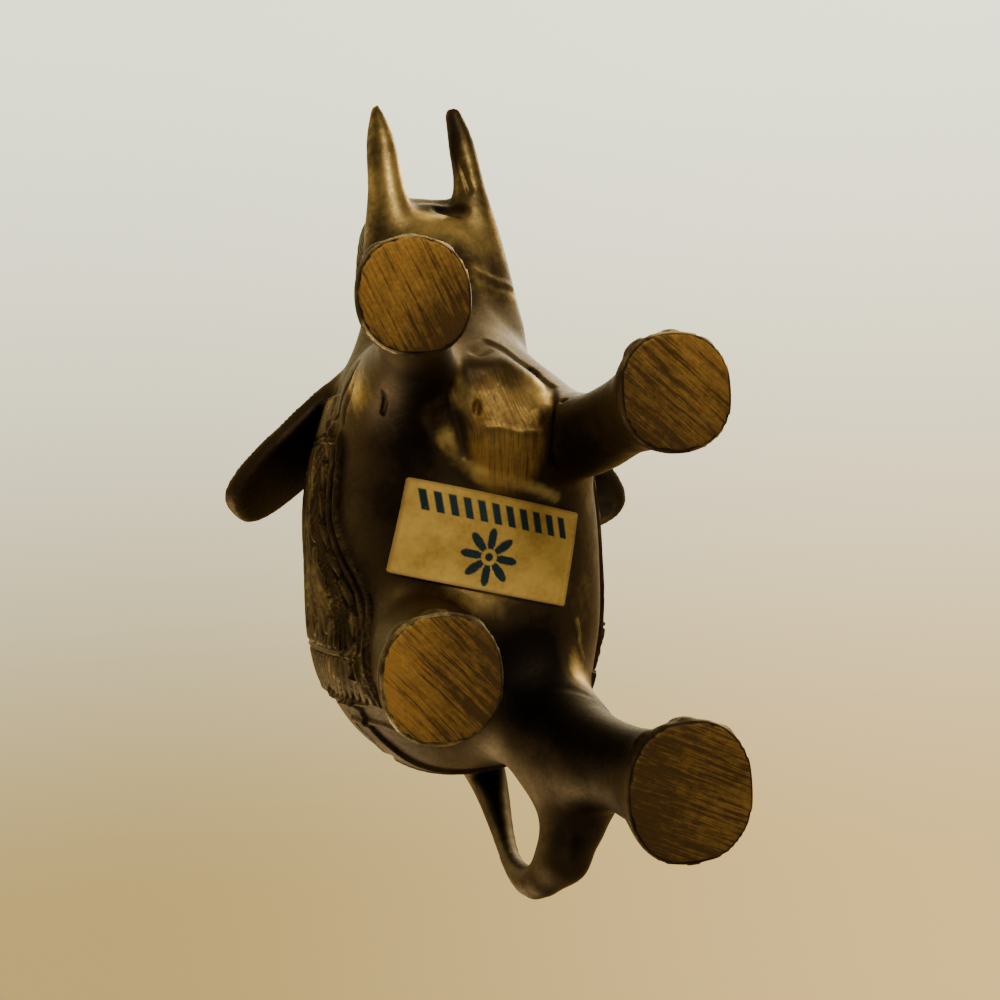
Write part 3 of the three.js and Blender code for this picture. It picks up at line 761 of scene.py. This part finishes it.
class Nodes:
    """A short way to write a material's nodes"""

    def __init__(self, tree):
        self.tree = tree
        tree.nodes.clear()

    def add(self, kind, inputs=None, **settings):
        node = self.tree.nodes.new(kind)
        for key, value in settings.items():
            setattr(node, key, value)
        for key, value in (inputs or {}).items():
            self.put(node.inputs[key], value)
        return node

    def put(self, socket, value):
        if isinstance(value, bpy.types.NodeSocket):
            self.tree.links.new(value, socket)
        else:
            socket.default_value = value

    def value(self, name, kind="Fac"):
        return self.add("ShaderNodeAttribute", attribute_name=name).outputs[kind]

    def math(self, operation, a, *others, clamp=False):
        for b in others:
            a = self.add("ShaderNodeMath", {0: a, 1: b}, operation=operation, use_clamp=clamp).outputs[0]
        return a

    def times(self, *values):
        return self.math("MULTIPLY", *values)

    def ramp(self, value, low, high, out_low=0.0, out_high=1.0):
        inputs = {"Value": value, "From Min": low, "From Max": high, "To Min": out_low, "To Max": out_high}
        return self.add("ShaderNodeMapRange", inputs, interpolation_type="SMOOTHSTEP").outputs["Result"]

    def varied(self, value, noise, amount, clamp=False):
        """The value with a noise added that goes this much to each side"""
        return self.math("ADD", value, self.ramp(noise, 0.3, 0.7, -amount, amount), clamp=clamp)

    def mix(self, share, a, b):
        node = self.add("ShaderNodeMix", data_type="RGBA")
        self.put(node.inputs[0], share)
        self.put(node.inputs[6], a)
        self.put(node.inputs[7], b)
        return node.outputs[2]

    def noise(self, vector, scale, detail=4.0, roughness=0.55, stretch=(1, 1, 1)):
        mapping = self.add("ShaderNodeMapping", {"Vector": vector, "Scale": stretch})
        inputs = {"Vector": mapping.outputs[0], "Scale": scale, "Detail": detail, "Roughness": roughness}
        return self.add("ShaderNodeTexNoise", inputs).outputs[0]

    def bump(self, height, strength, depth):
        inputs = {"Height": height, "Strength": strength, "Distance": depth}
        return self.add("ShaderNodeBump", inputs).outputs[0]

    def surface(self, shader):
        self.add("ShaderNodeOutputMaterial", {"Surface": shader.outputs[0]})


def new_material(name):
    material = bpy.data.materials.new(name)
    material.use_nodes = True
    return material, Nodes(material.node_tree)


# Colours of the brass, from soot and painted shade in the hollows to the bare filed soles, with a painted
# highlight on their rims
SOOT_AND_SHADE = (0.008, 0.006, 0.004, 1)
PATINA = (0.014, 0.009, 0.005, 1)
BROWN = (0.062, 0.037, 0.014, 1)
GOLD = (0.6, 0.385, 0.105, 1)
FILED = (0.55, 0.29, 0.055, 1)
FILED_DARK = (0.13, 0.068, 0.02, 1)
RIM_HIGHLIGHT = (0.75, 0.5, 0.17, 1)
GRAZING = (0.7, 0.64, 0.54, 1)

# How fine the brass's noises are, for each metre
BLOTCH_SCALE = 170
SPECK_SCALE = 900
GRAIN_SCALE = 2600
# How the noise of the file strokes is drawn out
STROKE_STRETCH = (1.0, 0.05, 1)
# The heights in metres where the filed face of a sole and the painted highlight on its rim fade out
SOLE_TOP = (0.00015, 0.00004)
RIM_HIGHLIGHT_TOP = (0.0006, 0.0003)
BUMP_DEPTH = 0.00012


def worn_skin(n, wear_light_and_shade, hollow):
    """Patina, brown or gold, by the wear and the painted light and shade, with soot and painted shade in the
    hollows
    """
    skin = n.mix(n.ramp(wear_light_and_shade, 0.0, 0.5), PATINA, BROWN)
    skin = n.mix(n.ramp(wear_light_and_shade, 0.45, 1.0), skin, GOLD)
    # Soot and painted shade darken the closed-in hollows, less where the brass is brightened
    sooty_and_shaded = n.times(n.ramp(hollow, 0.3, 0.8, 0, 0.95), n.ramp(wear_light_and_shade, 1.0, 0.55, 0.3, 1))
    return n.mix(sooty_and_shaded, skin, SOOT_AND_SHADE)


def filed_metal(n, tone, streaks, blotch, speck):
    """Bare metal with dark scratches along the file strokes"""
    coarse, fine = streaks
    dark = (n.ramp(coarse, 0.47, 0.64, -0.06, 0.42), n.ramp(fine, 0.42, 0.6, -0.1, 0.16))
    bright = n.math("SUBTRACT", tone, *dark)
    bright = n.varied(n.varied(bright, blotch, 0.1), speck, 0.12, clamp=True)
    return n.mix(bright, FILED_DARK, FILED)


def brass_material():
    material, n = new_material("aged brass")
    place = n.add("ShaderNodeTexCoord").outputs["Object"]
    height_above = n.add("ShaderNodeSeparateXYZ", {0: place}).outputs["Z"]
    hollow, worn, tone, scored, inset = map(n.value, ("hollow", "worn", "tone", "scored", "inset"))
    filing = n.value("filing", "Vector")
    blotch = n.noise(place, BLOTCH_SCALE, 5, 0.6)
    speck = n.noise(place, SPECK_SCALE, 4, 0.65)
    grain = n.noise(place, GRAIN_SCALE, 3, 0.6)
    streak = n.noise(filing, 1.0, 3, 0.65, STROKE_STRETCH)
    fine_streak = n.noise(filing, 2.8, 2, 0.6, STROKE_STRETCH)
    sole = n.times(n.ramp(height_above, *SOLE_TOP), n.ramp(inset, 0.1, 0.25))
    filed = n.math("MAXIMUM", sole, scored)
    # The wear value also carries painted highlights and painted shade
    wear_light_and_shade = n.varied(n.varied(worn, blotch, 0.1), speck, 0.04)
    bare = filed_metal(n, tone, (streak, fine_streak), blotch, speck)
    colour = n.mix(filed, worn_skin(n, wear_light_and_shade, hollow), bare)
    # A painted highlight along each sole's rim, strongest where the sole is painted lit
    rim = n.times(n.ramp(height_above, *RIM_HIGHLIGHT_TOP), n.ramp(inset, 0.3, 0.18), n.ramp(inset, -0.3, -0.1),
                  n.ramp(blotch, 0.42, 0.62, 0.05, 0.75), n.ramp(tone, 0.05, 0.5, 0.1, 1.0))
    colour = n.mix(rim, colour, RIM_HIGHLIGHT)
    rough = n.varied(n.ramp(wear_light_and_shade, 0.0, 1.0, 0.58, 0.4), grain, 0.05)
    rough = n.math("ADD", rough, n.ramp(hollow, 0.4, 0.9, 0, 0.25), n.times(scored, 0.15))
    height = n.math("ADD", n.times(grain, 0.3), n.times(speck, 0.5), n.times(streak, filed, -2.5))
    n.surface(n.add("ShaderNodeBsdfPrincipled", {
        "Base Color": colour, "Roughness": rough, "Metallic": 0.95, "Specular Tint": GRAZING,
        "Normal": n.bump(height, 0.35, BUMP_DEPTH)}))
    return material


# How far out from the surface it is tested whether a hollow is closed in, and how much each test counts
SHADE_REACHES = ((1.6, 0.3), (3.5, 0.3), (7, 0.25), (12, 0.15))
SHADE_STEP = 1.5
SHADE_MARGIN = 12
SHADE_BLOCK = 12.0


def near_shade(points, normals):
    """How closed in each point is, from 0 in the open to 1 deep in a hollow"""
    low = np.array(NET_BOX[0], float) - SHADE_MARGIN
    count = np.ceil((np.array(NET_BOX[1]) + SHADE_MARGIN - low) / SHADE_STEP).astype(int) + 1
    ticks = [low[axis] + SHADE_STEP * np.arange(count[axis]) for axis in range(3)]
    value = distance_to(CAST_FORMS, lattice(*ticks), SHADE_BLOCK).reshape(count)

    def sample(at):
        t = np.clip((at - low) / SHADE_STEP, 0, count - 1.001)
        base = t.astype(int)
        f = t - base
        total = np.zeros(len(at))
        for corner in np.ndindex(2, 2, 2):
            weight = np.where(corner, f, 1 - f).prod(1)
            total += weight * value[tuple((base + corner).T)]
        return total

    shade = np.zeros(len(points))
    for reach, weight in SHADE_REACHES:
        shade += weight * np.clip(1 - sample(points + normals * reach) / reach, 0, 1)
    return shade


# Where handling and filing have worn the brass bright or dirt keeps it dark, and painted highlights and
# painted shade: middle, half sizes, strength
WEAR_AND_LIGHT_SPOTS = [
    ((2, -8, 23), (4.6, 6.5, 3), 0.45),
    # Painted highlight on the chest's lit left facet
    ((-3.8, -10.4, 23), (1.4, 2.6, 2), 0.45),
    ((0, -37, 44), (9, 12, 6), 0.42),
    ((-5.4, -41, 44), (2.4, 8, 2.5), 0.2),
    ((10.4, 23.6, 25.5), (2.4, 5, 3), 0.62),
    ((-3.5, 14.2, 24.5), (7, 2.4, 2.4), 0.5),
    ((6, -30, 43), (5, 6, 5), 0.12),
    ((0, -36.6, 46), (4.2, 1.6, 2.2), -0.6),
    # Painted shade on the inner side of the left tusk
    ((3, -44.5, 45.6), (1.2, 5, 2), -0.5),
    ((-13, 29, 33), (5, 5, 7), -0.2),
    ((-14, -12.4, 26), (2, 2.4, 4), 0.1),
    ((3, -13.5, 25.5), (5, 2.2, 3), -0.16),
    ((12, 32, 10), (7, 7, 10), -0.5),
    ((-14.5, 22, 34), (3, 5, 8), -0.2),
    ((7, -10.5, 25), (2.4, 4, 3), 0.6),
    ((-9, -12, 17), (5, 5, 6), -0.25),
    ((13, 8, 33), (4, 14, 8), 0.1),
    ((-8, -6.5, 20), (3, 5, 8), -0.3),
    ((-9, 0, 28), (5, 9, 6), -0.25),
    ((9.5, -3.5, 16), (4, 4, 8), -0.35),
    # Painted shadow in the cavity between the hind legs
    ((3.8, 21.8, 25), (5, 4.6, 6), -0.8),
    ((-13.6, -11.5, 30), (2, 3, 4), 0.4),
    ((7, 28, 20), (5, 5, 7), -0.5),
]
BARE_WEAR = 0.4
CREST_WEAR = 0.2
GROUND_SHADE = 0.38
CREST = (0.1, 0.45)
MARK_WEAR_WIDTH = 1.3
EAR_SHADE = dict(inset=-1.0, fade=0.3, depth=2, strength=0.35)


def worn_share(points):
    worn = np.full(len(points), BARE_WEAR)
    for middle, half, strength in WEAR_AND_LIGHT_SPOTS:
        worn += strength * np.exp(-(((points - middle) / half) ** 2).sum(1))
    for placing in EARS:
        x, y, w = ear_place(points, placing)
        inner = ear_outline(x, y) - EAR_SHADE["inset"]
        inside = 1 - smooth_step(inner, -EAR_SHADE["fade"], EAR_SHADE["fade"])
        worn -= EAR_SHADE["strength"] * inside * (np.abs(w) < EAR_SHADE["depth"]) * (w > 0)
    for mark in MARKS.values():
        away = path_distance(points, mark["path"])
        worn += mark["wear_light_and_shade"] * bump(away, 0, MARK_WEAR_WIDTH * mark["half"])
    carving, on_cloth = cloth_carving(points)
    crest = smooth_step(carving, *CREST)
    return worn + (CREST_WEAR * crest - GROUND_SHADE * (1 - crest)) * on_cloth * body_share(points)


# How each sole is filed and painted with light and shade: the turn of the strokes from +X, how bright its
# middle is, and how much painted shade darkens it towards which turn
SOLE_LOOKS = [
    dict(strokes=66, bright=0.5, shaded_turn=50, shading=0.55),
    dict(strokes=42, bright=0.34, shaded_turn=140, shading=0.3),
    dict(strokes=48, bright=0.52, shaded_turn=0, shading=0.55),
    dict(strokes=25, bright=0.18, shaded_turn=180, shading=0.22),
]
FILE_FREQUENCY = 2.4
SOLE_SPREAD = 7.0
SOLE_REACH = 1.4
NO_SOLE = -9.0
SCORING = dict(skew=0.35, tone=0.42, fall=0.07, rear_tone=0.45, rear_step=2, scoring=0.75)
FRONT_FADE = dict(start=8, end=13, share=0.6)


def filing_of(points):
    """Across and along the file strokes, how bright the filed metal is, and how far in from a sole's edge"""
    x, y, z = points.T
    ridge = RIDGE["y"]
    skewed = x + SCORING["skew"] * np.maximum(ridge - y, 0)
    place = np.stack([skewed, y, np.zeros(len(points))], 1)
    tone = SCORING["tone"] - SCORING["fall"] * np.maximum(x - BREAST["middle"][0], 0)
    tone = tone + SCORING["rear_tone"] * smooth_step(y, ridge, ridge + SCORING["rear_step"])
    inset = np.full(len(points), NO_SOLE)
    for n, (leg, look) in enumerate(zip(LEGS, SOLE_LOOKS)):
        away = points[:, :2] - leg["sole"]
        reach = rounded_reach(away, leg["foot"], FOOT_SQUARENESS)
        here = (z < KNEE_HEIGHT / 2) & (reach < SOLE_REACH)
        u, v = away[here].T
        along, across = turned(u, v, look["strokes"])
        place[here] = np.stack([across, along, np.full(len(u), SOLE_SPREAD * (n + 1))], 1)
        # Painted light and shade across the sole, darker towards its shaded turn
        tone[here] = look["bright"] - look["shading"] * turned(u, v, look["shaded_turn"])[0] / leg["foot"][0]
        inset[here] = (1 - reach[here]) * min(leg["foot"])
    return place * FILE_FREQUENCY, tone, inset


def scored_share(points):
    """How strongly the breastbone is scored by the file"""
    fade = 1 - FRONT_FADE["share"] * smooth_step(-points[:, 1], FRONT_FADE["start"], FRONT_FADE["end"])
    return breast_share(points) * SCORING["scoring"] * fade


# The net is made finer this far beyond the cloth's edge and a mark's
CLOTH_MARGIN = 1
MARK_MARGIN = 0.6
LEAST_SHARE = 0.1


def has_relief(points):
    side, rear, front = cloth_place(points)
    on_body = body_share(points)
    fine = (np.minimum(np.minimum(side, rear), front) > -CLOTH_MARGIN) & (on_body > LEAST_SHARE)
    for mark in MARKS.values():
        fine |= path_distance(points, mark["path"]) < mark["half"] + MARK_MARGIN
    return fine | (breast_share(points) > 0) | (strap_relief(points) > 0) & (on_body > 0)


def make_elephant():
    points, faces = surface_net(*cast_grid())
    points, faces = refined(points, faces, has_relief(points)[faces].any(1))
    points = points + normals_of(points, faces) * relief(points)[:, None]
    piece = new_mesh("elephant_casting", points, faces, brass_material())
    thinned(piece, MOST_TRIANGLES)
    mesh = piece.data
    points = points_of(mesh)
    faces = np.empty(len(mesh.polygons) * 3, np.int32)
    mesh.loops.foreach_get("vertex_index", faces)
    hollow = near_shade(points, normals_of(points, faces.reshape(-1, 3)))
    place, tone, inset = filing_of(points)
    worn, scored = worn_share(points), scored_share(points)
    add_values(mesh, hollow=hollow, worn=worn, scored=scored, tone=tone, inset=inset, filing=place)
    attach(piece, "root")
    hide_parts("elephant")


LABEL_STEP = 0.12
LABEL_CORNER = 0.35
# The sheet's upper side is this far below the belly
LABEL_CLEARANCE = 0.02
BELLY_START = BELLY_CLEARANCE - 4
BELLY_STEPS = 25
ROSETTE = dict(middle=(0.0, 1.7), petals=8, reach=3.5, narrowness=0.8, edge=0.08, heart=0.9)
DASHES = dict(row=-3.5, height=2.4, width=0.95, spacing=1.75, count=11, lean=0.35, edge=0.07)


def ink_share(u, v):
    """The print: an eight-petalled rosette over a row of slanted dashes"""
    du, dv = u - ROSETTE["middle"][0], v - ROSETTE["middle"][1]
    reach, turn = np.hypot(du, dv), np.arctan2(dv, du)
    heart = ROSETTE["heart"]
    petal = np.abs(np.cos(turn * ROSETTE["petals"] / 2)) ** ROSETTE["narrowness"] * ROSETTE["reach"]
    flower = smooth_step(petal - reach, -ROSETTE["edge"], ROSETTE["edge"])
    flower = flower * smooth_step(reach, heart, heart + 0.15)
    seed = 1 - smooth_step(reach, heart * 0.5, heart * 0.6)
    lean = u - DASHES["lean"] * (v - DASHES["row"])
    most = DASHES["count"] // 2
    n = np.clip(np.round(lean / DASHES["spacing"]), -most, most)
    off = np.abs(lean - n * DASHES["spacing"]) - DASHES["width"] / 2
    tall = np.abs(v - DASHES["row"]) - DASHES["height"] / 2
    dash = 1 - smooth_step(np.maximum(off, tall), -DASHES["edge"], DASHES["edge"])
    return np.maximum(np.maximum(flower, seed), dash)


def belly_height(x, y):
    """The belly's height over points of the ground"""
    z = np.full(len(x), float(BELLY_START))
    for _ in range(BELLY_STEPS):
        z += distance_to(CAST_FORMS, np.stack([x, y, z], 1))
    return z


PAPER = (0.90, 0.53, 0.09, 1)
PAPER_STAIN = (0.56, 0.31, 0.04, 1)
PAPER_FIBRE = (0.93, 0.61, 0.13, 1)
PAPER_SOIL = (0.22, 0.13, 0.04, 1)
INK = (0.008, 0.030, 0.028, 1)
FIBRE_SCALE = 1800
STAIN_SCALE = 140
FIBRE_DEPTH = 0.0001


def paper_material():
    material, n = new_material("aged paper")
    place = n.add("ShaderNodeTexCoord").outputs["Object"]
    ink, edge = n.value("ink"), n.value("edge")
    fibre = n.noise(place, FIBRE_SCALE, 4, 0.6)
    stain = n.noise(place, STAIN_SCALE, 4, 0.6)
    sheet = n.mix(n.ramp(stain, 0.38, 0.62), PAPER, PAPER_STAIN)
    sheet = n.mix(n.ramp(fibre, 0.3, 0.7, 0, 0.35), sheet, PAPER_FIBRE)
    sheet = n.mix(n.times(edge, 0.6), sheet, PAPER_SOIL)
    colour = n.mix(n.times(ink, n.ramp(fibre, 0.2, 0.45, 0.86, 1.0)), sheet, INK)
    n.surface(n.add("ShaderNodeBsdfPrincipled", {
        "Base Color": colour, "Roughness": n.ramp(ink, 0, 1, 0.7, 0.55), "Specular IOR Level": 0.2,
        "Normal": n.bump(fibre, 0.3, FIBRE_DEPTH)}))
    return material


def label_net(columns, rows):
    """Places across and along the label, drawn in at its round corners, and how far each is from the edge"""
    half = np.array([LABEL["width"], LABEL["height"]]) / 2
    ticks = [np.linspace(-size, size, count + 1) for size, count in zip(half, (columns, rows))]
    net = lattice(*ticks)
    core = np.clip(net, LABEL_CORNER - half, half - LABEL_CORNER)
    away = np.linalg.norm(net - core, axis=1)
    shrink = np.where(away > 0, np.abs(net - core).max(1) / np.maximum(away, 1e-9), 1)
    net = core + (net - core) * shrink[:, None]
    return *net.T, (half - np.abs(net)).min(1)


def make_label():
    """A thin sheet that follows the belly"""
    columns = int(LABEL["width"] / LABEL_STEP)
    rows = int(LABEL["height"] / LABEL_STEP)
    u, v, edge = label_net(columns, rows)
    across, ahead = turned(u, v, -LABEL["turn"])
    x, y = across + LABEL["centre"][0], ahead + LABEL["centre"][1]
    belly = belly_height(x, y)
    lower = np.stack([x, y, belly - LABEL["gap"] - LABEL["thickness"]], 1)
    upper = np.stack([x, y, belly - LABEL_CLEARANCE], 1)
    count = len(lower)
    index = np.arange(count).reshape(columns + 1, rows + 1)
    quads = np.stack([index[:-1, :-1], index[:-1, 1:], index[1:, 1:], index[1:, :-1]], -1).reshape(-1, 4)
    border = np.concatenate([index[0, :-1], index[:-1, -1], index[-1, :0:-1], index[:0:-1, 0]])
    following = np.roll(border, -1)
    sides = np.stack([border, border + count, following + count, following], 1)
    faces = np.vstack([quads, quads[:, ::-1] + count, sides])
    piece = new_mesh("paper_label", np.vstack([lower, upper]), faces, paper_material())
    ink = ink_share(u, v)
    soiled = 1 - smooth_step(edge, 0.0, 0.5)
    add_values(piece.data, ink=np.concatenate([ink, ink * 0]), edge=np.tile(soiled, 2))
    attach(piece, "root")
    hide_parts("label")


# The camera looks up at the belly, square to the belly's slant
CAMERA = dict(target=(1.3, 2.2 + MIDDLE_SHIFT, 25), distance=172, tilt=16.5, roll=3.5, lens=52, sensor=36)
CLIP_START = 0.01


def make_camera():
    turns = Euler((math.pi, math.radians(CAMERA["tilt"]), math.radians(CAMERA["roll"])))
    behind = turns.to_matrix().col[2] * CAMERA["distance"]
    data = bpy.data.cameras.new("camera")
    data.lens = CAMERA["lens"]
    data.sensor_width = CAMERA["sensor"]
    data.clip_start = CLIP_START
    camera = placed("camera", data)
    camera.location = (Vector(CAMERA["target"]) + behind) * MM
    camera.rotation_euler = turns
    bpy.context.scene.camera = camera


FLOOR_SIZE = 6.0
FLOOR_DROP = 0.0003
FLOOR_COLOUR = (0.72, 0.70, 0.66, 1)


def make_floor():
    """A pale floor that shows only from above"""
    mesh = bpy.data.meshes.new("floor")
    half = FLOOR_SIZE / 2
    corners = [(-half, -half), (half, -half), (half, half), (-half, half)]
    mesh.from_pydata([(*corner, -FLOOR_DROP) for corner in corners], [], [(0, 1, 2, 3)])
    material, n = new_material("pale floor")
    backfacing = n.add("ShaderNodeNewGeometry").outputs["Backfacing"]
    pale = n.add("ShaderNodeBsdfDiffuse", {"Color": FLOOR_COLOUR})
    clear = n.add("ShaderNodeBsdfTransparent")
    n.surface(n.add("ShaderNodeMixShader", {0: backfacing, 1: pale.outputs[0], 2: clear.outputs[0]}))
    mesh.materials.append(material)
    floor = placed("floor", mesh)
    floor.visible_shadow = False
    floor.visible_glossy = False
    floor.visible_diffuse = False


# Soft lights: place in metres, size in metres and power in watts
LIGHTS = [
    dict(name="low_front", place=(0.2, -0.46, -0.78), size=0.25, power=2.8),
    dict(name="high_right", place=(0.6, -0.5, 0.8), size=0.8, power=14),
    dict(name="high_back", place=(-0.5, 0.8, 0.7), size=0.8, power=10),
]
LIGHT_AIM = (0, 0, 0.04)


def make_lights():
    for light in LIGHTS:
        data = bpy.data.lights.new(light["name"], "AREA")
        data.size = light["size"]
        data.energy = light["power"]
        lamp = placed(light["name"], data)
        lamp.location = light["place"]
        aim = Vector(LIGHT_AIM) - Vector(light["place"])
        lamp.rotation_euler = aim.to_track_quat("-Z", "Y").to_euler()


# The pale room: its ceiling before and behind the animal, over its right and left side, its walls and floor
SKY = dict(
    front_right=(2.0, 2.0, 1.5, 1), front_left=(2.25, 2.25, 1.7, 1), rear_right=(0.70, 0.49, 0.16, 1),
    rear_left=(1.21, 0.82, 0.30, 1), front_wall=(1.55, 1.42, 1.12, 1), rear_wall=(0.5, 0.41, 0.28, 1),
    below=(0.27, 0.25, 0.22, 1),
)
# The directions between which floor turns to wall, wall to ceiling, front to rear and right to left
WALL_RISE = (-0.2, 0.5)
CEILING_RISE = (0.4, 0.72)
REARWARD = (-0.36, 0.28)
LEFTWARD = (0.0, 0.6)


def make_world():
    world = bpy.data.worlds.new("pale room")
    bpy.context.scene.world = world
    world.use_nodes = True
    n = Nodes(world.node_tree)
    direction = n.add("ShaderNodeTexCoord").outputs["Generated"]
    x, y, z = n.add("ShaderNodeSeparateXYZ", {0: direction}).outputs
    upward = n.ramp(z, *WALL_RISE)
    overhead = n.ramp(z, *CEILING_RISE)
    rearward = n.ramp(y, *REARWARD)
    sideways = n.ramp(x, *LEFTWARD)
    front = n.mix(sideways, SKY["front_right"], SKY["front_left"])
    rear = n.mix(sideways, SKY["rear_right"], SKY["rear_left"])
    ceiling = n.mix(rearward, front, rear)
    walls = n.mix(rearward, SKY["front_wall"], SKY["rear_wall"])
    colour = n.mix(overhead, n.mix(upward, SKY["below"], walls), ceiling)
    background = n.add("ShaderNodeBackground", {"Color": colour, "Strength": 1.0})
    n.add("ShaderNodeOutputWorld", {"Surface": background.outputs[0]})


make_camera()
make_world()
make_lights()
make_floor()
make_elephant()
make_label()
